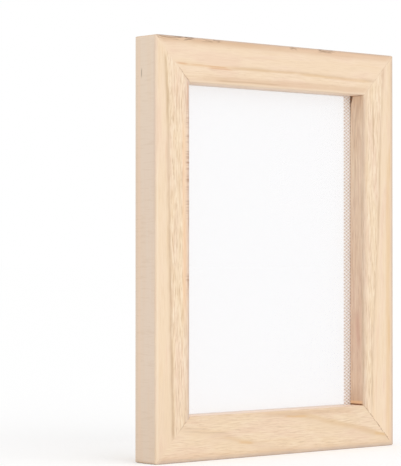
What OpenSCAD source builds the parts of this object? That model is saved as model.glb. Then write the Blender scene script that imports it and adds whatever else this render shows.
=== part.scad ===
// Screen printing frame: four mitred wooden members with a rabbet round the back of
// the opening, a woven mesh stretched flat on the rabbet's floor, and four mitred
// battens that are pinned over its edge, flush with the back of the frame.
//
// The frame stands upright: +X to the right, +Z up, and the front, where the ink
// and the squeegee go, faces -Y. The origin is in the middle of the bottom edge.

/* [Frame] */
// Outer width, 8 inches
frame_w = 203.2; // [150:0.1:600]
// Outer height, 10 inches
frame_h = 254; // [150:0.1:800]
// Thickness, front to back
frame_t = 19; // [15:0.5:40]
// Width of each member, seen from the front
member_w = 27; // [20:0.5:60]
// Thickness of the glue line in a mitre
glue_line = 0.03; // [0.01:0.01:0.5]

/* [Eased edges] */
// Radius of the outer edge at the front
front_outer_r = 0.8; // [0.3:0.1:3]
// Radius of the opening's edge at the front
front_inner_r = 1; // [0.3:0.1:3]
// Radius of the outer edge at the back
back_outer_r = 1.2; // [0.3:0.1:2]
// Radius of the four outer corners
corner_r = 2; // [0.3:0.1:4]
// Radius of the edges on both sides of the mesh
mesh_edge_r = 0.4; // [0.1:0.1:1]
// Radius of the two edges along the seam beside a batten
seam_r = 0.3; // [0.1:0.1:0.8]

/* [Rabbet and battens] */
// Width of the rabbet behind the opening's edge
rabbet_w = 8; // [5:0.5:12]
// Depth of the rabbet from the back face
rabbet_d = 6.3; // [3:0.1:10]
// Clearance between a batten and the rabbet's side
batten_gap = 0.3; // [0.2:0.05:1]
// Radius of a batten's inner edge at the back
batten_r = 0.9; // [0.3:0.1:1.5]

/* [Mesh] */
// Thickness of the woven mesh
mesh_t = 0.15; // [0.05:0.01:0.5]
// Distance from the mesh's cut edge to the rabbet's side
mesh_trim = 0.4; // [0.1:0.1:2]

/* [Brads] */
// Brads in each batten of a stile
stile_brads = 3; // [2:1:8]
// Brads in each batten of a rail
rail_brads = 2; // [2:1:8]
// Distance along a batten from the opening's corner to the first brad
brad_inset = 24; // [10:1:60]
// Length of a brad
brad_l = 13; // [8:0.5:14]
// Diameter of a brad's shank
brad_d = 1.2; // [0.8:0.1:1.6]
// Diameter of a brad's head
brad_head_d = 2; // [1.4:0.1:2.4]
// Height of a brad's head
brad_head_t = 0.6; // [0.3:0.1:1]
// Length of a brad's point
brad_tip = 1.8; // [0.5:0.1:3]
// How deep a brad's head is punched below the batten's back
brad_set = 0.4; // [0:0.1:1]

/* [V-nails] */
// Height of a V-nail, from the back face into the wood
v_nail_l = 12; // [7:0.5:12]
// Length of each wing
v_nail_wing = 4.6; // [3:0.1:6]
// Thickness of its steel
v_nail_t = 0.6; // [0.4:0.1:1]
// Angle between its wings
v_nail_angle = 104; // [90:1:120]
// Radius of the curl at the end of a wing
v_nail_curl_r = 0.8; // [0.6:0.1:1]
// Distance along the mitre from the outer corner to the first V-nail's ridge
v_nail_inset = 6.5; // [5:0.5:10]
// Distance from the rabbet's corner back to the second V-nail's ridge
v_nail_land = 10; // [8:0.5:14]
// How deep the V-nails are pressed below the back face
v_nail_set = 0.3; // [0:0.1:1]

/* [Hidden] */

$fn = 48;
WOOD = [0.957, 0.859, 0.749];
BATTEN_WOOD = [0.93, 0.82, 0.70];
MESH_WHITE = [0.98, 0.98, 1];
STEEL = [0.62, 0.63, 0.65];

// Room by which a cut runs past the face that it opens
over = 1;
// Planes from front to back
front_y = -frame_t / 2;
back_y = frame_t / 2;
mesh_y = back_y - rabbet_d;
batten_y = mesh_y + mesh_t;
// Distances from a member's outer edge towards the opening
rabbet_side = member_w - rabbet_w;
batten_side = rabbet_side + batten_gap;
brad_line = (batten_side + member_w) / 2;
// How far a mitre is cut back along the member for half of the glue line
mitre_back = glue_line / sqrt(2);
// Distances along the mitre from the outer corner to the ridge of each V-nail
v_nail_ridges = [v_nail_inset, rabbet_side * sqrt(2) - v_nail_land];

// A member is modelled as the bottom rail: it runs along X about the origin, with
// its outer edge at z = 0. The four are turned about Y into their places.
module at_bottom() children();
module at_top() translate([0, 0, frame_h]) rotate([0, 180, 0]) children();
module at_left() translate([-frame_w / 2, 0, frame_h / 2]) rotate([0, 90, 0]) children();
module at_right() translate([frame_w / 2, 0, frame_h / 2]) rotate([0, -90, 0]) children();

// What is left outside a round of radius r in the corner of a square at the origin
module edge_round(r) {
    difference() {
        translate([-over, -over]) square(r + over);
        translate([r, r]) circle(r);
    }
}

// Runs a section along a member: its x is the depth and its y the distance from the outer edge
module run(length) {
    rotate([90, 0, 90]) linear_extrude(length, center = true) children();
}

// The outline from the front of what is mitred at both ends, between two distances
// from the outer edge
module mitred_outline(length, outer, inner) {
    function half_length(distance) = length / 2 - distance - mitre_back;
    polygon([
        [-half_length(outer), outer],
        [half_length(outer), outer],
        [half_length(inner), inner],
        [-half_length(inner), inner]
    ]);
}

module through_thickness() {
    rotate([90, 0, 0]) linear_extrude(frame_t + 2 * over, center = true) children();
}

// Members

module member_section() {
    difference() {
        translate([front_y, 0]) square([frame_t, member_w]);
        translate([mesh_y, rabbet_side]) square([rabbet_d + over, rabbet_w + over]);
        translate([front_y, 0]) edge_round(front_outer_r);
        translate([front_y, member_w]) rotate(-90) edge_round(front_inner_r);
        translate([mesh_y, member_w]) rotate(180) edge_round(mesh_edge_r);
        translate([back_y, rabbet_side]) rotate(180) edge_round(seam_r);
        translate([back_y, 0]) rotate(90) edge_round(back_outer_r);
    }
}

module member_outline(length) {
    difference() {
        mitred_outline(length, 0, member_w);
        for (end = [0, 1])
            mirror([end, 0]) translate([-length / 2, 0]) edge_round(corner_r);
    }
}

module member(length) {
    intersection() {
        run(length) member_section();
        through_thickness() member_outline(length);
    }
}

// Mesh

module mesh_sheet() {
    trimmed = 2 * (rabbet_side + mesh_trim);
    translate([-(frame_w - trimmed) / 2, mesh_y, trimmed / 2])
        cube([frame_w - trimmed, mesh_t, frame_h - trimmed]);
}

// Battens

module batten_section() {
    difference() {
        translate([batten_y, batten_side]) square([back_y - batten_y, member_w - batten_side]);
        translate([batten_y, member_w]) rotate(-90) edge_round(mesh_edge_r);
        translate([back_y, member_w]) rotate(180) edge_round(batten_r);
        translate([back_y, batten_side]) rotate(90) edge_round(seam_r);
    }
}

module batten_blank(length) {
    intersection() {
        run(length) batten_section();
        through_thickness() mitred_outline(length, batten_side, member_w);
    }
}

// Brads

module brad() {
    shank_r = brad_d / 2;
    head_r = brad_head_d / 2;
    neck = brad_head_t + head_r - shank_r;
    rotate([90, 0, 0]) rotate_extrude()
        polygon([
            [0, 0],
            [head_r, 0],
            [head_r, brad_head_t],
            [shank_r, neck],
            [shank_r, brad_l - brad_tip],
            [0, brad_l]
        ]);
}

// The punch's dimple above a sunk head
module brad_dimple() {
    rotate([-90, 0, 0]) cylinder(brad_set + over, d = brad_head_d);
}

module along_batten(length, count) {
    span = length - 2 * (member_w + brad_inset);
    for (i = [0 : count - 1])
        translate([span * (i / (count - 1) - 0.5), back_y - brad_set, brad_line]) children();
}

module brads(length, count) {
    along_batten(length, count) brad();
}

module brad_holes(length, count) {
    along_batten(length, count) {
        brad();
        brad_dimple();
    }
}

// V-nails

// One wing from the ridge at the origin, along X, with its end curled back
module v_nail_wing_outline() {
    outer_r = v_nail_curl_r + v_nail_t / 2;
    inner_r = v_nail_curl_r - v_nail_t / 2;
    translate([0, -v_nail_t / 2]) square([v_nail_wing, v_nail_t]);
    translate([v_nail_wing, v_nail_curl_r]) intersection() {
        difference() {
            circle(outer_r);
            circle(inner_r);
        }
        translate([0, -outer_r]) square([outer_r, 2 * outer_r]);
    }
}

// Its ridge points to the outer corner and its wings lie one in each member
module v_nail_outline() {
    half_angle = v_nail_angle / 2;
    circle(v_nail_t / 2);
    for (wing = [0, 1])
        mirror([0, wing]) rotate(half_angle) mirror([0, 1]) v_nail_wing_outline();
}

// The V-nails of the bottom left corner, with their tops at the set depth
module v_nail_pair(height) {
    translate([-frame_w / 2, back_y - v_nail_set, 0]) rotate([90, 0, 0])
        for (ridge = v_nail_ridges)
            rotate(45) translate([ridge, 0]) linear_extrude(height) v_nail_outline();
}

module v_nail_slots() {
    v_nail_pair(v_nail_l);
    translate([0, v_nail_set + over, 0]) v_nail_pair(v_nail_set + over);
}

// The same corner's V-nails at the ends of one member of this length
module slots_at_ends(length) {
    for (end = [0, 1])
        mirror([end, 0, 0]) translate([(frame_w - length) / 2, 0, 0]) v_nail_slots();
}

// Wooden parts with their fasteners' holes

module drilled_member(length, count) {
    color(WOOD) difference() {
        member(length);
        slots_at_ends(length);
        brad_holes(length, count);
    }
}

module drilled_batten(length, count) {
    color(BATTEN_WOOD) difference() {
        batten_blank(length);
        brad_holes(length, count);
    }
}

// Parts

module left_stile() at_left() drilled_member(frame_h, stile_brads);
module right_stile() at_right() drilled_member(frame_h, stile_brads);
module top_rail() at_top() drilled_member(frame_w, rail_brads);
module bottom_rail() at_bottom() drilled_member(frame_w, rail_brads);

module mesh() {
    color(MESH_WHITE) difference() {
        mesh_sheet();
        at_left() brads(frame_h, stile_brads);
        at_right() brads(frame_h, stile_brads);
        at_top() brads(frame_w, rail_brads);
        at_bottom() brads(frame_w, rail_brads);
    }
}

module left_batten() at_left() drilled_batten(frame_h, stile_brads);
module right_batten() at_right() drilled_batten(frame_h, stile_brads);
module top_batten() at_top() drilled_batten(frame_w, rail_brads);
module bottom_batten() at_bottom() drilled_batten(frame_w, rail_brads);

module left_brads() color(STEEL) at_left() brads(frame_h, stile_brads);
module right_brads() color(STEEL) at_right() brads(frame_h, stile_brads);
module top_brads() color(STEEL) at_top() brads(frame_w, rail_brads);
module bottom_brads() color(STEEL) at_bottom() brads(frame_w, rail_brads);

module bottom_left_v_nails() color(STEEL) v_nail_pair(v_nail_l);
module bottom_right_v_nails() color(STEEL) mirror([1, 0, 0]) v_nail_pair(v_nail_l);
module top_left_v_nails() color(STEEL) at_top() mirror([1, 0, 0]) v_nail_pair(v_nail_l);
module top_right_v_nails() color(STEEL) at_top() v_nail_pair(v_nail_l);

left_stile();
right_stile();
top_rail();
bottom_rail();
mesh();
left_batten();
right_batten();
top_batten();
bottom_batten();
left_brads();
right_brads();
top_brads();
bottom_brads();
top_left_v_nails();
top_right_v_nails();
bottom_left_v_nails();
bottom_right_v_nails();
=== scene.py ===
# %% [markdown]
# # A screen printing frame
# The object is a small wooden frame with a see-through mesh stretched across it. CAD
# has made the wood, the battens and the nails at their real size. Here they get their
# finishes, the mesh is made as cloth, and the frame is lit and seen from the front left.

# %% Load the frame
import math
import bmesh
import bpy
from mathutils import Matrix
from mathutils import Vector
from mathutils import noise


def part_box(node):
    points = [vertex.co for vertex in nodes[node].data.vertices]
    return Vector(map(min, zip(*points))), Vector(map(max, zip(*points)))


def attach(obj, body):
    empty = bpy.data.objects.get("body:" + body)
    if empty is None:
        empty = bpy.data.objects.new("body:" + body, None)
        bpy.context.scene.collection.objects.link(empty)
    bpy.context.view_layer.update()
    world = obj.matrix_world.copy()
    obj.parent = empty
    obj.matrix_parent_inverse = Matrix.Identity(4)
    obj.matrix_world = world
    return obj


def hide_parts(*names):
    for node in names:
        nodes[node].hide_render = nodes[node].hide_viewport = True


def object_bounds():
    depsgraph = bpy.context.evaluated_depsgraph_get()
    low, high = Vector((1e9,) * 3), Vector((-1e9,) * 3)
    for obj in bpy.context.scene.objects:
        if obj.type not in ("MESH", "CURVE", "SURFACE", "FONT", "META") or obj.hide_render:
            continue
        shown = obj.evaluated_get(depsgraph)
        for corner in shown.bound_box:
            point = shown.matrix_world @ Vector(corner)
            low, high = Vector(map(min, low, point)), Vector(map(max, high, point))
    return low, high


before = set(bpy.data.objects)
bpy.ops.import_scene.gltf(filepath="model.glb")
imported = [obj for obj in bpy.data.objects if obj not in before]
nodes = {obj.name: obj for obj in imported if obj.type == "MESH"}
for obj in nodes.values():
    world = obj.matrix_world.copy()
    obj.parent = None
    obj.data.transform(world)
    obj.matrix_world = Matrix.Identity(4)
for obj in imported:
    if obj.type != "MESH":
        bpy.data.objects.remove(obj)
cad_box = [list(corner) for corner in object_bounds()]
print("pieces from CAD:", sorted(nodes))

# %% Sizes, in metres, read from the CAD pieces
MM = 0.001
low, high = (Vector(corner) for corner in cad_box)
half_width = high.x
width = high.x - low.x
height = high.z
front_y = low.y
back_y = high.y
depth = back_y - front_y
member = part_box("left_stile")[1].x - low.x
mesh_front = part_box("mesh")[0].y
print("outside", [round(side / MM, 1) for side in high - low], "mm")
print("members", round(member / MM, 1), "mm wide and", round(depth / MM, 1), "mm thick")

# %% [markdown]
# ## The camera
# A long lens stands well back, near half the frame's height and to its left. The upright
# lines then stay nearly parallel, and the front and the left edge both show. It looks up
# a touch, which leaves air above the frame.

# %% Camera
EYE = Vector((-0.9027, -0.9565, 0.1203))
TURN_RIGHT = math.radians(41.458)
LOOK_UP = math.radians(0.748)
LENS = 162.7
SENSOR = 36
camera = bpy.data.objects.new("camera", bpy.data.cameras.new("camera"))
bpy.context.scene.collection.objects.link(camera)
camera.location = EYE
camera.rotation_euler = (math.pi / 2 + LOOK_UP, 0, -TURN_RIGHT)
camera.data.lens = LENS
camera.data.sensor_width = SENSOR
bpy.context.scene.camera = camera
print("camera is", round(EYE.length, 2), "m from the foot of the frame")

# %% [markdown]
# ## Node trees as sums
# A material is a net of nodes, and most of its nodes only add and multiply. The small
# class below lets the script write such nodes as ordinary sums, which are easier to
# read: `a + b` makes a Math node, and gives back its output.

# %% Adding a node
def add(tree, kind, inputs=(), **settings):
    """Adds a node, sets its properties, and sets or links its inputs by name or number."""
    made = tree.nodes.new(kind)
    for key, value in settings.items():
        setattr(made, key, value)
    for key, value in dict(inputs).items():
        join(tree, value, made.inputs[key])
    return made


def join(tree, value, socket):
    """Links what flows to a socket, or writes a plain value on it."""
    if isinstance(value, Flow):
        tree.links.new(value.socket, socket)
    elif isinstance(value, bpy.types.NodeSocket):
        tree.links.new(value, socket)
    else:
        socket.default_value = value


# %% Sums that make nodes
class Flow:
    """A number, a place or a colour that flows through a node tree."""

    def __init__(self, tree, socket):
        self.tree = tree
        self.socket = socket

    def math(self, operation, *others):
        """One Math node that does this operation."""
        values = dict(enumerate((self,) + others))
        made = add(self.tree, "ShaderNodeMath", values, operation=operation)
        return Flow(self.tree, made.outputs[0])

    def __add__(self, other):
        return self.math("ADD", other)

    def __sub__(self, other):
        return self.math("SUBTRACT", other)

    def __mul__(self, other):
        return self.math("MULTIPLY", other)

    def __truediv__(self, other):
        return self.math("DIVIDE", other)

    def __rsub__(self, other):
        return self.math("MULTIPLY_ADD", -1.0, other)

    def rise(self, start, end):
        """A smooth step from 0 at start to 1 at end."""
        values = {"Value": self, "From Min": start, "From Max": end}
        made = add(self.tree, "ShaderNodeMapRange", values, interpolation_type="SMOOTHSTEP")
        return Flow(self.tree, made.outputs[0])

    def fall(self, start, end):
        """A smooth step from 1 at start to 0 at end."""
        return 1.0 - self.rise(start, end)

    def over(self, other):
        """The larger of the two."""
        return self.math("MAXIMUM", other)


# %% Materials
def new_material(name):
    """A material with an empty node tree."""
    made = bpy.data.materials.new(name)
    made.use_nodes = True
    made.node_tree.nodes.clear()
    return made


def finish_with(tree, surface):
    """Ends a material's tree with this surface."""
    add(tree, "ShaderNodeOutputMaterial", {"Surface": surface.outputs[0]})


# %% [markdown]
# ## Light and floor
# A pale studio lights the frame from all round, and one wide soft sun in front makes
# its face a little brighter than its sides. The floor is as white as the room, so that
# no horizon shows, and it keeps a faint shadow where the frame stands. More lamps would
# only wash the pale wood out.

# %% Room
WHITE = (1, 1, 1, 1)
ROOM_LIGHT = 0.80
world = bpy.data.worlds.new("studio")
bpy.context.scene.world = world
world.use_nodes = True
sky = world.node_tree
sky.nodes.clear()
ray = add(sky, "ShaderNodeLightPath").outputs
seen = Flow(sky, ray["Is Camera Ray"]).over(Flow(sky, ray["Is Glossy Ray"]))
seen = seen.over(Flow(sky, ray["Is Transmission Ray"]))
room = add(sky, "ShaderNodeBackground", {"Color": WHITE, "Strength": ROOM_LIGHT})
backdrop = add(sky, "ShaderNodeBackground", {"Color": WHITE, "Strength": 1.0})
both = add(sky, "ShaderNodeMixShader", {0: seen, 1: room.outputs[0], 2: backdrop.outputs[0]})
add(sky, "ShaderNodeOutputWorld", {"Surface": both.outputs[0]})
print("room light", ROOM_LIGHT)

# %% Sun
SUN_FROM = Vector((0.05, -0.80, 0.50))
SUN_STRENGTH = 0.70
SUN_SPREAD = math.radians(60)
sun = bpy.data.objects.new("sun", bpy.data.lights.new("sun", "SUN"))
bpy.context.scene.collection.objects.link(sun)
sun.rotation_euler = (-SUN_FROM).to_track_quat("-Z", "Y").to_euler()
sun.data.energy = SUN_STRENGTH
sun.data.angle = SUN_SPREAD
print("sun strength", SUN_STRENGTH)

# %% Floor
FLOOR_HALF = 30
FLOOR_COLOUR = (0.90, 0.90, 0.90, 1)
FLOOR_LIFT = 0.172
shape = bmesh.new()
bmesh.ops.create_grid(shape, x_segments=1, y_segments=1, size=FLOOR_HALF)
floor_mesh = bpy.data.meshes.new("floor")
shape.to_mesh(floor_mesh)
shape.free()
floor = bpy.data.objects.new("floor", floor_mesh)
bpy.context.scene.collection.objects.link(floor)
paper = new_material("floor_paper")
tree = paper.node_tree
seen = Flow(tree, add(tree, "ShaderNodeLightPath").outputs["Is Camera Ray"])
plain = add(tree, "ShaderNodeBsdfDiffuse", {"Color": FLOOR_COLOUR})
lift = add(tree, "ShaderNodeEmission", {"Color": WHITE, "Strength": seen * FLOOR_LIFT})
finish_with(tree, add(tree, "ShaderNodeAddShader", {0: plain.outputs[0], 1: lift.outputs[0]}))
floor_mesh.materials.append(paper)
print("floor is", 2 * FLOOR_HALF, "m wide")

# %% [markdown]
# ## The wood's colours
# The members are bare, planed, pale wood of the light kind that such frames are made
# of. Colours are given as a screen shows them, and turned into the linear numbers that
# shaders take. A whole finish is made by dyeing: it starts from one pale colour, and
# each step moves it a little towards another.

# %% Colours
def seen_as(red, green, blue):
    """A colour as it looks, from 0 to 255, as the linear numbers that shaders take."""
    def linear(value):
        value = value / 255
        return value / 12.92 if value <= 0.04045 else ((value + 0.055) / 1.055) ** 2.4
    return (linear(red), linear(green), linear(blue), 1)


PALE = seen_as(247, 222, 194)
STRAW = seen_as(243, 218, 181)
PINK = seen_as(242, 212, 186)
LIGHT = seen_as(255, 236, 210)
FLECK = seen_as(206, 174, 138)
RING = seen_as(192, 158, 122)
AMBER = seen_as(232, 194, 144)
ORANGE = seen_as(250, 206, 160)
EDGE = seen_as(220, 184, 150)
DARK = seen_as(150, 108, 78)


def toward(colour, target, amount):
    """The colour, moved towards the target by an amount from 0 to 1."""
    tree = amount.tree
    made = tree.nodes.new("ShaderNodeMix")
    made.data_type = "RGBA"
    sockets = {socket.identifier: socket for socket in made.inputs}
    join(tree, amount, sockets["Factor_Float"])
    join(tree, colour, sockets["A_Color"])
    join(tree, target, sockets["B_Color"])
    result = {socket.identifier: socket for socket in made.outputs}["Result_Color"]
    return Flow(tree, result)


print("the ground colour is", [round(value, 3) for value in PALE])

# %% [markdown]
# ## Places in a board
# Every member and every batten is one length of wood whose grain runs along it. A
# finish is easiest to describe in the board's own terms: how far along it a place is,
# how far across from the frame's outer edge, and how deep from the front. Painting each
# face by itself would be another way, but the grain would break at every edge. Here it
# is worked out in the solid wood, so that it turns each edge as real grain does.

# %% The four sides of the frame
def side_of_frame(along, start, across, edge, length):
    """Where a side runs: its axes, the planes they are measured from, and its length."""
    return {"along": along, "start": start, "across": across, "edge": edge, "length": length}


SIDES = {
    "left": side_of_frame("Z", height, "X", -half_width, height),
    "right": side_of_frame("Z", height, "X", half_width, height),
    "top": side_of_frame("X", -half_width, "Z", height, width),
    "bottom": side_of_frame("X", -half_width, "Z", 0.0, width),
}
print("a stile is", round(SIDES["left"]["length"] / MM, 1), "mm long")


# %% A board of wood
class Board:
    """A length of wood while its finish is made: the places in it, and its colour so far.

    Its faces say, from 0 to 1, how far a place belongs to the front, to the outer side or
    to the wall of the opening.
    """

    def __init__(self, name, side, seed):
        self.material = new_material(name)
        self.tree = self.material.node_tree
        self.seed = seed
        self.length = side["length"] / MM
        place = add(self.tree, "ShaderNodeTexCoord").outputs["Object"]
        axes = add(self.tree, "ShaderNodeSeparateXYZ", {0: place}).outputs
        self.along = self.distance(axes[side["along"]], side["start"])
        self.across = self.distance(axes[side["across"]], side["edge"])
        self.deep = self.distance(axes["Y"], front_y)
        self.inward = member / MM - self.across
        self.grain = self.across
        self.faces = {
            "front": self.deep.fall(1.0, 2.0),
            "side": self.across.fall(0.1, 0.7) * self.deep.rise(0.3, 1.2),
            "wall": self.inward.fall(0.1, 0.7) * self.deep.rise(0.5, 3.0),
        }
        self.colour = PALE

    def distance(self, axis, start):
        """Millimetres from a plane that is square to the axis."""
        return (Flow(self.tree, axis) - start).math("ABSOLUTE") / MM

    def dye(self, target, amount):
        """Moves the colour so far towards the target."""
        self.colour = toward(self.colour, target, amount)

    def stretched(self, long, wide):
        """The place, counted in patches this long along the grain and this wide."""
        parts = dict(enumerate((self.along / long, self.grain / wide, self.deep / wide)))
        return Flow(self.tree, add(self.tree, "ShaderNodeCombineXYZ", parts).outputs[0])


# %% [markdown]
# ## Random patches and dashes
# Wood is never even. Noise stretched along the grain gives soft patches, streaks and
# fibres, and stretched cells, of which only a chosen share is kept, give the short
# dashes of open pores. Each call takes the board's next seed, so that no two are alike
# and the result is the same on every run.

# %% Patches
SEED_STEP = 7.3


def patches(board, long, wide, detail=1.0, rough=0.5):
    """Soft random values about 0.5, in patches this many millimetres long and wide."""
    board.seed += 1
    values = {
        "Vector": board.stretched(long, wide),
        "W": board.seed * SEED_STEP,
        "Scale": 1.0,
        "Detail": detail,
        "Roughness": rough,
    }
    made = add(board.tree, "ShaderNodeTexNoise", values, noise_dimensions="4D")
    return Flow(board.tree, made.outputs["Fac"])


# %% Dashes
def dashes(board, long, wide, share):
    """Short dashes in this share of the cells, each strongest in its middle."""
    board.seed += 1
    values = {
        "Vector": board.stretched(long, wide),
        "W": board.seed * SEED_STEP,
        "Scale": 1.0,
        "Randomness": 1.0,
    }
    cells = add(board.tree, "ShaderNodeTexVoronoi", values, voronoi_dimensions="4D").outputs
    near = Flow(board.tree, cells["Distance"]).fall(0.12, 0.46)
    chance = add(board.tree, "ShaderNodeSeparateColor", {0: cells["Color"]}).outputs[0]
    return near * Flow(board.tree, chance).rise(1 - share, 1.1 - share)


# %% [markdown]
# ## Growth rings
# Where a face cuts the growth rings it shows long lines. Noise alone gives streaks, but
# never a line that runs the whole length. So a few points say where one line runs, a
# smooth curve joins them, and the next lines follow at a set distance. Depth moves them
# sideways, as it does in rings that lie aslant in the board.

# %% The path of a ring line
CURVE_SPAN = 60


def path_across(board, points):
    """How far across the board a ring line lies, from a few points along and across.

    A curve node holds values from 0 to 1, so they stand for this span of millimetres.
    """
    curve = add(board.tree, "ShaderNodeFloatCurve", {"Value": board.along / board.length})
    line = curve.mapping.curves[0]
    while len(line.points) < len(points):
        line.points.new(0.5, 0.5)
    for dot, (along, across) in zip(line.points, points):
        dot.location = (along / board.length, across / CURVE_SPAN + 0.5)
        dot.handle_type = "AUTO"
    curve.mapping.update()
    return (Flow(board.tree, curve.outputs[0]) - 0.5) * CURVE_SPAN


# %% Ring lines
def ring_lines(board, points, apart, lean=0.5, waver=1.0):
    """Finds how far each place lies before and after the nearest ring line."""
    sway = patches(board, 34, 12) - 0.5
    ripple = patches(board, 10, 3.5) - 0.5
    off = board.across + (sway + ripple) * (1.2 * waver) + board.deep * lean
    off = off - path_across(board, points)
    board.after = (off / apart).math("FRACT") * apart
    board.before = apart - board.after
    board.grain = board.across + (sway * 1.2 + ripple * 0.3) * waver


def dye_ring_lines(board, soft, core, half=2.4, start=-9.0):
    """Darkens each line from start on: softly over its half width, finely in its middle."""
    uneven = patches(board, 16, 9, 2.0).rise(0.3, 0.62) * 0.75 + 0.25
    uneven = uneven * board.along.rise(start - 4, start + 4)
    shade = board.before.fall(0.0, half) + board.after.fall(0.0, half * 0.55)
    middle = board.before.fall(0.2, 1.1) + board.after.fall(0.0, 0.6)
    board.dye(RING, shade * uneven * soft)
    board.dye(RING, middle * uneven * core)


# %% [markdown]
# ## Ground colour, fibres and pores
# Just after each ring line the wood is open and full of pores, and further on it is
# close and plain. The open part has the stronger fibres, light and dark side by side,
# and most of the pores, which show as short dashes where they are cut lengthwise.

# %% Ground
def ground(board, reach, open_share=1.0):
    """Marks the open wood after each ring line, and lays soft tones along the grain."""
    open_wood = board.after.rise(0.1, 0.8) * board.after.fall(reach * 0.7, reach * 1.15)
    board.open_wood = (open_wood * open_share).over(board.faces["wall"] * 0.8)
    tone = patches(board, 38, 7, 2.0)
    band = patches(board, 45, 1.6, 2.0)
    board.dye(STRAW, tone.rise(0.42, 0.62) * (board.open_wood * 0.2 + 0.3))
    board.dye(PINK, tone.fall(0.36, 0.48) * 0.6)
    board.dye(AMBER, band.rise(0.52, 0.72) * 0.22)


# %% Fibres
def fibres(board):
    """Fine light and dark threads of wood, and finer hairs between them."""
    thread = patches(board, 10, 0.62, 2.0, 0.6)
    hair = patches(board, 16, 0.35)
    board.dye(FLECK, thread.fall(0.34, 0.5) * (board.open_wood * 0.4 + 0.12))
    board.dye(LIGHT, thread.rise(0.5, 0.64) * (board.open_wood * 0.75 + 0.15))
    board.dye(FLECK, hair.rise(0.55, 0.75) * (board.open_wood * 0.2 + 0.14))
    board.relief = thread * 0.5


# %% Pores
def pores(board):
    """Open pores: long and short dark dashes, sunk a little into the face."""
    long = dashes(board, 8.5, 0.7, 0.4) * (board.open_wood * 0.8 + 0.15)
    short = dashes(board, 3.6, 0.55, 0.45) * (board.open_wood * 0.6 + 0.06)
    board.pits = long.over(short)
    board.dye(FLECK, board.pits * 0.8)
    board.relief = board.relief - board.pits * 0.8


# %% All three in one
def lay_grain(board, reach, open_share=1.0):
    """Lays the ground, the fibres and the pores, in this order."""
    ground(board, reach, open_share)
    fibres(board)
    pores(board)


# %% [markdown]
# ## Edges, streaks and marks
# Handling and sanding leave the wood near its edges warmer. The thin grey line on each
# corner of its section is painted shade, where the rounded corner turns from the light.
# Some marks are this frame's own: a streak of heartwood, a bruise or a stain. Chance
# would never put them where they belong, so each is a soft streak between two places
# that are given one by one.

# %% Warm edges
def warm_edges(board, outer, inner):
    """Warms the wood near the outer edge and near the opening."""
    rub = patches(board, 22, 5, 2.0).rise(0.2, 0.6) * 0.3 + 0.7
    board.dye(EDGE, board.across.fall(1.4, 6.0) * rub * outer)
    board.dye(EDGE, board.inward.fall(0.6, 5.0) * rub * inner)


# %% Painted shade on the corners
ARRIS_SHADE = seen_as(196, 178, 170)


def shaded_arrises(board, outer, inner, reach=2.4):
    """A thin grey line along the corners of the section: painted shade where they turn from the
    light.
    """
    to_face = board.deep.math("MINIMUM", depth / MM - board.deep)
    patchy = patches(board, 6, 1.2, 2.0).rise(0.3, 0.65) * 0.4 + 0.6
    board.dye(ARRIS_SHADE, board.across.over(to_face).fall(0.3, reach) * patchy * outer)
    board.dye(ARRIS_SHADE, board.inward.over(to_face).fall(0.3, reach) * patchy * inner)


# %% Streaks
def streak(board, start, end, half, target, amount, face="front", soft=5.0):
    """Dyes a soft streak from start to end, each a place along and across, or along and deep."""
    across = board.grain if face == "front" else board.deep
    share = (board.along - start[0]) / (end[0] - start[0])
    off = (across - share * (end[1] - start[1]) - start[1]).math("ABSOLUTE")
    reach = board.along.rise(start[0] - soft, start[0] + soft)
    reach = reach * board.along.fall(end[0] - soft, end[0] + soft)
    board.dye(target, off.fall(half * 0.15, half) * reach * board.faces[face] * amount)


# %% Chips and painted shade
CHIP_AND_SHADE = seen_as(104, 72, 50)


def chipped_and_shaded_edge(board, places):
    """Thin, dark, broken lines along the front outer corner, in each of the places: partly chips,
    partly painted shade.
    """
    crack = (patches(board, 8, 1.1, 0.6) - 0.5).math("ABSOLUTE").fall(0.01, 0.09)
    at_edge = board.across.over(board.deep).fall(1.4, 2.8)
    for start, end, amount in places:
        where = board.along.rise(start - 1, start + 2) * board.along.fall(end - 3, end + 1)
        board.dye(CHIP_AND_SHADE, crack * at_edge * where * amount)


# %% Cutter marks
CUT = seen_as(168, 124, 92)


def cutter_marks(board, middle, half, amount):
    """Fine uneven marks that a cutter left across the inner edge, densest in the middle."""
    ridges = patches(board, 0.8, 60).rise(0.42, 0.60)
    uneven = patches(board, 9, 60).rise(0.28, 0.48)
    where = (board.along - middle).math("ABSOLUTE").fall(half * 0.1, half)
    marks = ridges * uneven * where * where * board.inward.fall(0.9, 4.2) * amount
    board.dye(CUT, marks)
    board.relief = board.relief - marks * 0.5


# %% [markdown]
# ## The other faces and the mitres
# The outer faces are planed smooth and painted greyer, partly their own planed tone and
# partly painted cooler light on the sides. The wall of the opening is freshly cut, pinker
# and more streaked, and on the rails it is painted lighter as well, as painted light. At
# each mitre the glue has drawn a thin uneven line, so that the joint shows in some places
# and is lost in others, where it is painted pale as painted light over the shade in the
# glue gap.

# %% Outer face
SIDE_GREY = seen_as(243, 222, 202)
SIDE_TAN = seen_as(243, 218, 194)


def outer_face(board):
    """A smooth face, painted greyer, partly its own tone and partly painted cooler light, with faint
    marks of the planer across it.
    """
    tone = patches(board, 90, 5, 2.0)
    planer = patches(board, 0.9, 9).rise(0.48, 0.75) * 0.16
    # The greyer tone: partly the planed face's own, partly painted cooler light on the sides.
    smooth = toward(SIDE_GREY, SIDE_TAN, tone.rise(0.46, 0.62) * 0.6)
    smooth = toward(smooth, FLECK, planer + board.pits * 0.25)
    smooth = toward(smooth, EDGE, board.deep.rise(12.0, 16.0) * 0.12)
    board.colour = toward(board.colour, smooth, board.faces["side"] * 0.92)


# %% Wall of the opening
FRESH_AND_PAINTED_LIGHT = seen_as(255, 234, 218)
DARK_VEIN = seen_as(196, 146, 112)
LIGHT_VEIN = seen_as(255, 228, 198)
OPEN_PORE = seen_as(176, 126, 96)
BROWNED = seen_as(196, 150, 116)


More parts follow.
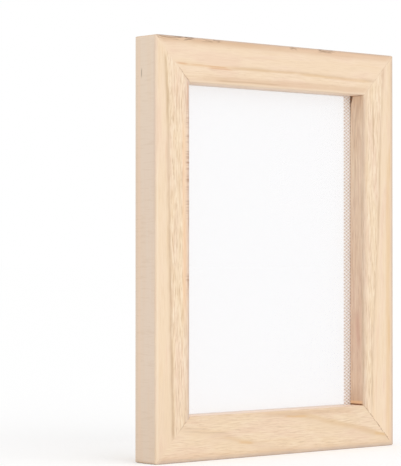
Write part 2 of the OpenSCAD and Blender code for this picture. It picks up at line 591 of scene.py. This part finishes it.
def opening_wall(board, lift=0.0, browned=0.0):
    """Adds streaks to the wall, lightens it by lift, which is painted light, and browns its first
    end.
    """
    wall = board.faces["wall"]
    vein = patches(board, 26, 1.1, 3.0, 0.6)
    # The fresh-cut tone, and with lift a painted light on the wall.
    board.dye(FRESH_AND_PAINTED_LIGHT, wall * (0.16 + lift))
    board.dye(DARK_VEIN, vein.fall(0.34, 0.52) * wall * 0.26)
    board.dye(LIGHT_VEIN, vein.rise(0.52, 0.66) * wall * 0.30)
    opened = dashes(board, 12, 0.8, 0.35)
    board.dye(OPEN_PORE, opened * wall * 0.5)
    spots = dashes(board, 6.0, 0.9, 0.35)
    board.dye(DARK, spots * wall * board.along.fall(34, 62) * browned * 0.6)
    board.dye(BROWNED, board.along.fall(26, 50) * wall * browned * 0.22)


# %% Mitre lines
GLUE = seen_as(170, 128, 92)


def mitre_lines(board, first, last):
    """Dyes the glue line at both mitres, each with an amount at its inner and outer end. Where the
    line is faint, the joint and the front beside it are painted pale, a painted light over the shade
    in the glue gap.
    """
    glue = patches(board, 2.6, 2.6, 2.0).rise(0.42, 0.54)
    for to_end, amounts in ((board.along, first), (board.length - board.along, last)):
        inner, outer = amounts
        line = (to_end - board.across).fall(0.05, 0.9) * glue
        strength = board.across.rise(15, 24) * (inner - outer) + outer
        joint_painted_light = (to_end - board.across).fall(0.0, 4.0) * board.faces["front"]
        # Painted light: the joint painted pale where its line should not show.
        board.dye(PALE, joint_painted_light * (0.5 - strength).over(0.0))
        board.dye(GLUE, line * strength)


# %% Surface
RELIEF_DEPTH = 0.12 * MM


def finished(board):
    """Ends the board's material with its gloss and its fine relief."""
    bump = add(board.tree, "ShaderNodeBump", {
        "Strength": 0.35,
        "Distance": RELIEF_DEPTH,
        "Height": board.relief,
    })
    values = {
        "Base Color": board.colour,
        "Roughness": board.relief * 0.2 + 0.55,
        "Normal": bump.outputs[0],
        "Specular IOR Level": 0.3,
    }
    finish_with(board.tree, add(board.tree, "ShaderNodeBsdfPrincipled", values))
    return board.material


def give(name, material):
    """Puts one material on a piece from CAD."""
    nodes[name].data.materials.clear()
    nodes[name].data.materials.append(material)


# %% [markdown]
# ## The left stile
# One soft olive line runs down it, stronger in some places than in others. Outside the
# line the wood is close and plain, and inside it is open and full of fibres. The edge of
# the opening is warm and carries the cutter's marks. Its outer side faces the camera,
# with a lighter band towards the back and a short crack near the top.

# %% Left stile
OLIVE = seen_as(190, 164, 120)
stile = Board("left_stile_wood", SIDES["left"], seed=1)
ring_lines(
    stile,
    ((0, 7.2), (18, 8.1), (45, 10.2), (85, 10.5), (135, 11.7), (180, 12.2), (217, 13.5), (254, 14.8)),
    apart=40,
)
lay_grain(stile, reach=22)
dye_ring_lines(stile, soft=0.42, core=0.2, half=2.9, start=13)
print("left stile's grain:", len(stile.tree.nodes), "nodes")

# %% Marks on the left stile's front
BURNT = seen_as(214, 152, 100)
EDGE_ROSE = seen_as(228, 204, 196)
streak(stile, (14, 7.9), (58, 10.4), 1.7, OLIVE, 0.2)
streak(stile, (62, 10.4), (86, 10.6), 1.5, LIGHT, 0.25)
streak(stile, (101, 10.9), (111, 11.1), 1.3, RING, 0.35)
streak(stile, (135, 11.3), (160, 11.7), 1.3, RING, 0.36)
streak(stile, (184, 12.3), (254, 14.7), 1.5, RING, 0.3)
streak(stile, (52, 22.8), (165, 23.2), 2.6, ORANGE, 0.6, soft=14)
streak(stile, (27, 25.4), (42, 25.0), 0.8, BURNT, 0.6, soft=2.0)
warm_edges(stile, outer=0.0, inner=0.26)
shaded_arrises(stile, outer=0.2, inner=0.85)
stile.dye(EDGE_ROSE, stile.inward.fall(2.0, 6.0) * 0.25)
streak(stile, (44, 23.2), (110, 23.2), 1.7, LIGHT, 0.25)
cutter_marks(stile, middle=76, half=62, amount=0.85)
cutter_marks(stile, middle=147, half=11, amount=0.7)
streak(stile, (106, 26.1), (114, 26.0), 0.8, CUT, 0.4, soft=3.0)
streak(stile, (144, 25.6), (150, 26.1), 0.9, CUT, 0.5, soft=2.0)
streak(stile, (166, 26.2), (188, 26.2), 0.7, CUT, 0.3, soft=4.0)
print("and its marks:", len(stile.tree.nodes), "nodes")

# %% Sides of the left stile
SHADE = seen_as(216, 192, 162)
BACK_BAND = seen_as(254, 222, 194)
FRONT_BAND = seen_as(228, 200, 180)
CRACK = seen_as(110, 92, 66)
outer_face(stile)
stile.dye(LIGHT, stile.faces["side"] * stile.along.fall(20, 90) * 0.2)
streak(stile, (8, 14.9), (246, 14.5), 1.9, BACK_BAND, 0.45, face="side", soft=12)
streak(stile, (8, 1.0), (110, 1.0), 1.2, FRONT_BAND, 0.36, face="side", soft=12)
# A painted highlight along the front's outer edge.
streak(stile, (70, 1.7), (250, 1.7), 1.1, LIGHT, 0.45, soft=14)
streak(stile, (20.0, 12.6), (24.5, 12.8), 0.6, CRACK, 0.6, face="side", soft=1.6)
opening_wall(stile)
mitre_lines(stile, first=(0.55, 0.0), last=(0.5, 0.0))
stile.dye(SHADE, stile.along.rise(185, 235) * 0.16)
give("left_stile", finished(stile))
print("left stile:", len(stile.tree.nodes), "nodes")

# %% [markdown]
# ## The right stile
# It is plainer, with one faint line and a golden band along its outer edge. Its wall is
# the one that shows, so it carries the dark gap beside the mesh at the top, painted shade
# along the mesh, a rosy tone further down, and the line where it meets the bottom rail,
# part dark joint and part painted shade, with a warm band of painted reflected light
# above it. The gap is part painted shadow and part stain. No lamp could put it just
# there, so it is dyed into the wood.

# %% Right stile
stile = Board("right_stile_wood", SIDES["right"], seed=31)
ring_lines(
    stile,
    ((0, 8.5), (30, 10.2), (60, 12.6), (105, 14.0), (155, 17.1), (200, 19.6), (254, 21.0)),
    apart=34, lean=-0.35,
)
lay_grain(stile, reach=15, open_share=0.85)
dye_ring_lines(stile, soft=0.30, core=0.16)
streak(stile, (44, 11.8), (125, 13.9), 1.0, RING, 0.22)
streak(stile, (32, 18.7), (64, 18.4), 0.8, RING, 0.5)
streak(stile, (172, 20.6), (225, 19.8), 0.6, RING, 0.3)
streak(stile, (70, 5.0), (245, 5.0), 3.0, AMBER, 0.42, soft=20)
streak(stile, (60, 3.4), (80, 3.4), 1.2, AMBER, 0.4)
streak(stile, (172, 4.0), (192, 3.8), 1.4, AMBER, 0.5)
warm_edges(stile, outer=0.3, inner=0.28)
shaded_arrises(stile, outer=0.62, inner=0.25, reach=3.0)
outer_face(stile)
opening_wall(stile, browned=1.0)
print("right stile so far:", len(stile.tree.nodes), "nodes")

# %% Dark gap and painted shade beside the mesh
GAP_WIDTH = 2.4
GAP_LENGTH = 9
GAP_SHADOW_AND_STAIN = seen_as(100, 62, 22)
CREASE_SHADE = seen_as(124, 84, 60)
MESH_CORNER_SHADE = seen_as(98, 64, 38)
mesh_deep = (mesh_front - front_y) / MM
opening_start = member / MM
wall = stile.faces["wall"]
before_mesh = mesh_deep - stile.deep
gap_width = stile.along.fall(opening_start, opening_start + GAP_LENGTH) * GAP_WIDTH
gap = (before_mesh - gap_width).fall(-0.2, 0.5)
gap = gap * stile.along.fall(opening_start + 4, opening_start + 16)
# The dark gap: painted shadow and stain.
stile.dye(GAP_SHADOW_AND_STAIN, gap * wall)
# Painted shade along the line where the wall meets the mesh.
crease_shade = before_mesh.fall(0.1, 0.9) * patches(stile, 5, 60).rise(0.3, 0.6)
stile.dye(CREASE_SHADE, crease_shade * wall * (stile.along.fall(32, 66) * 0.6 + 0.3))
# Painted shade where the mesh meets the top of the wall.
stile.dye(MESH_CORNER_SHADE, before_mesh.fall(0.3, 1.1) * wall * stile.along.fall(33, 47) * 0.7)
print("the mesh is", round(mesh_deep, 2), "mm behind the front")

# %% Stains on the right wall
ROSY = seen_as(204, 142, 120)
STAIN = seen_as(206, 146, 124)
WALL_LIGHT = seen_as(255, 228, 206)
stile.dye(ROSY, stile.along.rise(60, 190) * wall * 0.2)
streak(stile, (26, 2.0), (46, 8.8), 2.2, DARK, 0.16, face="wall")
streak(stile, (27, 1.0), (34, 1.0), 0.9, DARK, 0.3, face="wall", soft=2.0)
streak(stile, (32, 6.6), (64, 9.4), 0.8, DARK, 0.2, face="wall")
streak(stile, (70, 8.0), (104, 8.6), 0.8, DARK, 0.22, face="wall")
streak(stile, (84, 2.4), (116, 2.0), 1.1, DARK, 0.2, face="wall")
streak(stile, (142, 3.0), (160, 2.4), 0.8, DARK, 0.2, face="wall")
streak(stile, (166, 1.3), (190, 1.2), 0.7, DARK, 0.45, face="wall")
streak(stile, (168, 6.2), (188, 5.4), 3.6, STAIN, 0.32, face="wall")
stile.dye(WALL_LIGHT, wall * 0.1)
print("stains on the wall, which is", round(stile.length - 2 * opening_start, 1), "mm long")

# %% Ends of the right wall
SEAM_AND_SHADE = seen_as(120, 70, 36)
opening_end = stile.length - opening_start
# Painted shade in the corner under the top rail, partly the dark joint there.
stile.dye(DARK, stile.along.fall(opening_start, opening_start + 0.9) * wall * 0.7)
# Darker towards the bottom.
stile.dye(DARK, stile.along.rise(opening_end - 16, opening_end - 5) * wall * 0.16)
# A warm band of painted reflected light just above the bottom rail.
stile.dye(ORANGE, stile.along.rise(opening_end - 3.2, opening_end - 2.2) * wall * 0.75)
# The seam with the bottom rail: a dark joint and painted shade.
stile.dye(SEAM_AND_SHADE, stile.along.rise(opening_end - 1.1, opening_end - 0.7) * wall * 0.9)
mitre_lines(stile, first=(0.1, 0.2), last=(0.6, 0.8))
give("right_stile", finished(stile))
print("right stile:", len(stile.tree.nodes), "nodes")

# %% [markdown]
# ## The top rail
# Its line starts orange, with a short second one below it, and turns to the common brown
# on the way to the right. The wood is browner towards the front outer corner, which is
# chipped and carries painted shade in broken dark lines, most of all at the left end, and
# rubbed lighter on the right.

# %% Top rail
rail = Board("top_rail_wood", SIDES["top"], seed=61)
ring_lines(rail, ((0, 15.8), (40, 16.9), (100, 16.7), (150, 17.2), (203, 18.2)), apart=30, lean=0.3)
lay_grain(rail, reach=9, open_share=0.25)
rail.dye(PINK, rail.faces["front"] * 0.12)
dye_ring_lines(rail, soft=0.3, core=0.08, half=2.6, start=60)
print("top rail's grain:", len(rail.tree.nodes), "nodes")

# %% Marks on the top rail
RUBBED = seen_as(248, 216, 190)
streak(rail, (15, 15.9), (25, 16.3), 0.9, BURNT, 0.5, soft=3.0)
streak(rail, (28, 16.5), (42, 16.7), 0.9, BURNT, 0.25, soft=3.0)
streak(rail, (42, 16.5), (57, 16.8), 0.7, BURNT, 0.5, soft=3.0)
streak(rail, (43, 17.6), (60, 17.9), 0.7, BURNT, 0.5, soft=3.0)
streak(rail, (20, 16.6), (118, 16.9), 1.2, AMBER, 0.3)
streak(rail, (120, 17.1), (180, 18.0), 1.5, AMBER, 0.36)
streak(rail, (40, 24.0), (190, 23.6), 3.0, EDGE, 0.42, soft=14)
streak(rail, (50, 25.0), (100, 24.6), 0.7, RING, 0.4)
warm_edges(rail, outer=0.84, inner=0.3)
# Painted light on the inner arris, which turns down from the light.
rail.dye(LIGHT, rail.inward.fall(0.5, 1.8) * 0.4)
shaded_arrises(rail, outer=0.62, inner=0.0, reach=1.4)
streak(rail, (104, 2.1), (203, 2.1), 1.5, RUBBED, 0.28)
# Chips along the front outer corner, with painted shade in their broken dark lines.
chipped_and_shaded_edge(rail, ((0, 31, 0.72), (36, 54, 0.36), (110, 117, 0.45), (134, 150, 0.45)))
outer_face(rail)
# Painted light on the wall under the rail.
opening_wall(rail, lift=0.3)
mitre_lines(rail, first=(0.55, 0.0), last=(0.1, 0.15))
give("top_rail", finished(rail))
print("top rail:", len(rail.tree.nodes), "nodes")

# %% [markdown]
# ## The bottom rail
# The rings leave this board at a slant, so its lines are broad golden bands that run
# down across it, and its front is painted a little darker than the rest, as painted shade.

# %% Bottom rail
rail = Board("bottom_rail_wood", SIDES["bottom"], seed=91)
ring_lines(
    rail, ((0, 26), (60, 13), (120, -0.5), (203, -18.7)),
    apart=24.3, lean=0.9, waver=2.5,
)
lay_grain(rail, reach=21, open_share=0.5)
dye_ring_lines(rail, soft=0.16, core=0.0, half=5.0)
print("bottom rail's grain:", len(rail.tree.nodes), "nodes")

# %% Marks on the bottom rail
GOLDEN = seen_as(226, 188, 136)
streak(rail, (56, 13.0), (78, 9.0), 1.5, GOLDEN, 0.3)
streak(rail, (67, 9.8), (78, 8.8), 1.4, AMBER, 0.7, soft=2.5)
streak(rail, (118, 24.6), (193, 8.0), 2.4, GOLDEN, 0.38, soft=8)
streak(rail, (106, 24.0), (124, 22.8), 1.2, AMBER, 0.85, soft=3)
streak(rail, (186, 9.5), (197, 7.6), 1.5, AMBER, 0.8, soft=2.5)
streak(rail, (22, 18.6), (58, 15.6), 0.8, RING, 0.22)
streak(rail, (24, 20.6), (40, 19.6), 0.6, RING, 0.25, soft=2.0)
streak(rail, (90, 24.8), (160, 25.2), 2.4, EDGE, 0.45, soft=14)
warm_edges(rail, outer=0.34, inner=0.2)
shaded_arrises(rail, outer=0.75, inner=0.0, reach=3.4)
outer_face(rail)
# Painted light on the rail's upper wall.
opening_wall(rail, lift=0.6)
mitre_lines(rail, first=(0.5, 0.0), last=(0.6, 0.8))
# Painted shade: the front a little darker.
rail.dye(SHADE, rail.faces["front"] * 0.16)
give("bottom_rail", finished(rail))
print("bottom rail:", len(rail.tree.nodes), "nodes")

# %% [markdown]
# ## The battens
# The four strips behind the mesh are cut from the same wood. Little of them shows, so
# they get rings close together and no marks of their own. Their wall is painted greyer,
# as painted shade behind the mesh.

# %% Battens
BATTEN_SHADE = seen_as(206, 190, 184)
for number, side_name in enumerate(SIDES):
    strip = Board(side_name + "_batten_wood", SIDES[side_name], seed=121 + 20 * number)
    ring_lines(strip, ((0, 20), (strip.length, 22)), apart=11, lean=0.4)
    lay_grain(strip, reach=5)
    dye_ring_lines(strip, soft=0.3, core=0.3)
    # Painted shade on the wall behind the mesh.
    strip.dye(BATTEN_SHADE, strip.faces["wall"] * 0.42)
    give(side_name + "_batten", finished(strip))
print("wood on", len(SIDES), "battens")

# %% [markdown]
# ## Brads and V-nails
# They are bright steel wire and strip. A drawn surface is a little uneven in its gloss
# and dulls in patches, so both come from fine noise on a metal.

# %% Steel
BRIGHT = seen_as(190, 192, 196)
DULL = seen_as(150, 148, 145)
DRAWN_SCALE = 2500.0
DULL_SCALE = 700.0
steel = new_material("bright_steel")
tree = steel.node_tree
place = add(tree, "ShaderNodeTexCoord").outputs["Object"]
drawn = add(tree, "ShaderNodeTexNoise", {"Vector": place, "Scale": DRAWN_SCALE})
dulled = add(tree, "ShaderNodeTexNoise", {"Vector": place, "Scale": DULL_SCALE})
values = {
    "Base Color": toward(BRIGHT, DULL, Flow(tree, dulled.outputs["Fac"]).rise(0.35, 0.7)),
    "Metallic": 1.0,
    "Roughness": Flow(tree, drawn.outputs["Fac"]) * 0.3 + 0.25,
}
finish_with(tree, add(tree, "ShaderNodeBsdfPrincipled", values))
fasteners = [name for name in nodes if name.endswith(("brads", "v_nails"))]
for name in fasteners:
    give(name, steel)
print("steel on", fasteners)

# %% [markdown]
# ## The mesh
# A plain-woven cloth of white monofilament, stretched flat on the rabbet's floor. Its
# edge is turned up beside the battens and trimmed a little below the back. Cloth under
# this much tension has no folds to simulate, so it is a flat grid whose border is pulled
# up. It is made lying down, where its cut size can be written on it as a map.

# %% Mesh sheet
SEAM_MIDDLE = 0.15 * MM
TRIMMED_BELOW = 0.6 * MM
CELLS_ACROSS = 40
CELLS_UP = 50
mesh_low, mesh_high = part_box("mesh")
mesh_y = (mesh_low.y + mesh_high.y) / 2
turn_x = -(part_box("left_batten")[0].x - SEAM_MIDDLE)
turn_z = turn_x + height / 2 - half_width
turn_up = back_y - mesh_y - TRIMMED_BELOW
cloth = bmesh.new()
bmesh.ops.create_grid(cloth, x_segments=CELLS_ACROSS, y_segments=CELLS_UP, size=1)
bmesh.ops.scale(cloth, vec=(turn_x, turn_z, 1), verts=cloth.verts)
cut = cloth.loops.layers.uv.new("cut")
for face in cloth.faces:
    for loop in face.loops:
        loop[cut].uv = loop.vert.co.xy
print("flat part", round(2 * turn_x / MM, 1), "x", round(2 * turn_z / MM, 1), "mm")

# %% Turned-up edge
RAGGED = 0.4 * MM
RAGGED_SCALE = 90
border = [edge for edge in cloth.edges if edge.is_boundary]
pulled = bmesh.ops.extrude_edge_only(cloth, edges=border)["geom"]
rim = [item for item in pulled if isinstance(item, bmesh.types.BMVert)]
bmesh.ops.translate(cloth, vec=(0, 0, turn_up), verts=rim)
for vert in rim:
    vert.co.z -= RAGGED * (noise.noise(vert.co * RAGGED_SCALE) + 0.5)
cloth.normal_update()
turned = [face for face in cloth.faces if abs(face.normal.z) < 0.5]
for face in turned:
    outward = Vector((round(face.normal.x), round(face.normal.y)))
    if outward.dot(face.calc_center_median().xy) < 0:
        outward.negate()
    for loop in face.loops:
        loop[cut].uv = loop.vert.co.xy + outward * loop.vert.co.z
print("turned-up edge has", len(turned), "faces")

# %% Stand it up in its plane, with its edge to the back
standing = Matrix(((1, 0, 0, 0), (0, 0, 1, mesh_y), (0, 1, 0, height / 2), (0, 0, 0, 1)))
bmesh.ops.transform(cloth, verts=cloth.verts, matrix=standing)
bmesh.ops.recalc_face_normals(cloth, faces=cloth.faces)
sheet_data = bpy.data.meshes.new("stretched_mesh")
cloth.to_mesh(sheet_data)
cloth.free()
sheet = bpy.data.objects.new("stretched_mesh", sheet_data)
bpy.context.scene.collection.objects.link(sheet)
print("mesh sheet has", len(sheet_data.polygons), "faces")

# %% [markdown]
# ## The weave
# The threads are real see-through detail: clear between them and white on them. The map
# gives each its place on the cut cloth. Over white the weave is lost, but over the wood
# on each side it shows as coarse light and dark dots, as fine threads do when they beat
# against what lies behind them. There the threads swell and thin in a staggered pattern,
# and their white is painted a little warmer, a painted reflection of the light off the wood.

# %% Where the threads run
INCH = 25.4 * MM
THREADS_PER_INCH = 110
PITCH = INCH / THREADS_PER_INCH
THREAD = 0.055 * MM
flat_cloth = new_material("white_monofilament")
tree = flat_cloth.node_tree
flat = add(tree, "ShaderNodeUVMap", uv_map="cut").outputs[0]
axes = add(tree, "ShaderNodeSeparateXYZ", {0: flat}).outputs
u = Flow(tree, axes["X"])
v = Flow(tree, axes["Y"])
print("one thread every", round(PITCH / MM, 3), "mm")

# %% Dots over the wood
DOT_X = 3.44 * MM
DOT_Z = 2.2 * MM
DOT_START = 0.86 * MM
DOT_EDGE = 0.05
SWELLING = 4.2
THINNING = 0.62
STRIP_EDGE = (5.2, 6.6)
opening_half = half_width - member
beside = (opening_half - u.math("ABSOLUTE")) / MM
over_wood = beside.fall(*STRIP_EDGE)
across_dots = ((u + DOT_START) * (2 * math.pi / DOT_X)).math("COSINE")
dots = across_dots * (v * (2 * math.pi / DOT_Z)).math("COSINE")
swell = dots.rise(-DOT_EDGE, DOT_EDGE) * SWELLING - THINNING
half_thread = (over_wood * swell + 1.0) * (THREAD / PITCH / 2)
print("dots", DOT_X / MM, "by", DOT_Z / MM, "mm")


# %% A thread
SOFT_EDGE = 0.02


def thread(coordinate):
    """1 on a thread and 0 between threads."""
    turns = (coordinate / PITCH).math("FRACT")
    off = (turns - 0.5).math("ABSOLUTE")
    return (off - half_thread).fall(-SOFT_EDGE, SOFT_EDGE)


# %% White monofilament
THREAD_WHITE = (0.98, 0.975, 1.0, 1)
WARM_WHITE = (1.0, 0.975, 0.975, 1)
GLOW = 0.5
# Over the wood the white is warmer: a painted reflection of the light off the wood.
white = toward(THREAD_WHITE, WARM_WHITE, over_wood)
glow = add(tree, "ShaderNodeBsdfTranslucent", {"Color": white})
body = add(tree, "ShaderNodeBsdfPrincipled", {
    "Base Color": white,
    "Roughness": 0.35,
    "Specular IOR Level": 0.4,
})
strand = add(tree, "ShaderNodeMixShader", {0: GLOW, 1: body.outputs[0], 2: glow.outputs[0]})
print("threads are", THREAD / MM, "mm thick")

# %% Threads and the gaps between them
cover = thread(u).over(thread(v))
clear = add(tree, "ShaderNodeBsdfTransparent")
weave = add(tree, "ShaderNodeMixShader", {0: cover, 1: clear.outputs[0], 2: strand.outputs[0]})
finish_with(tree, weave)
sheet_data.materials.append(flat_cloth)
print("weave has", len(tree.nodes), "nodes")

cut_size = (2 * (turn_x + turn_up), 2 * (turn_z + turn_up))
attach(sheet, "root")
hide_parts("mesh")
print("mesh cut", [round(side / MM, 1) for side in cut_size], "mm")

# %% Finish
bpy.context.scene.view_settings.view_transform = "Standard"
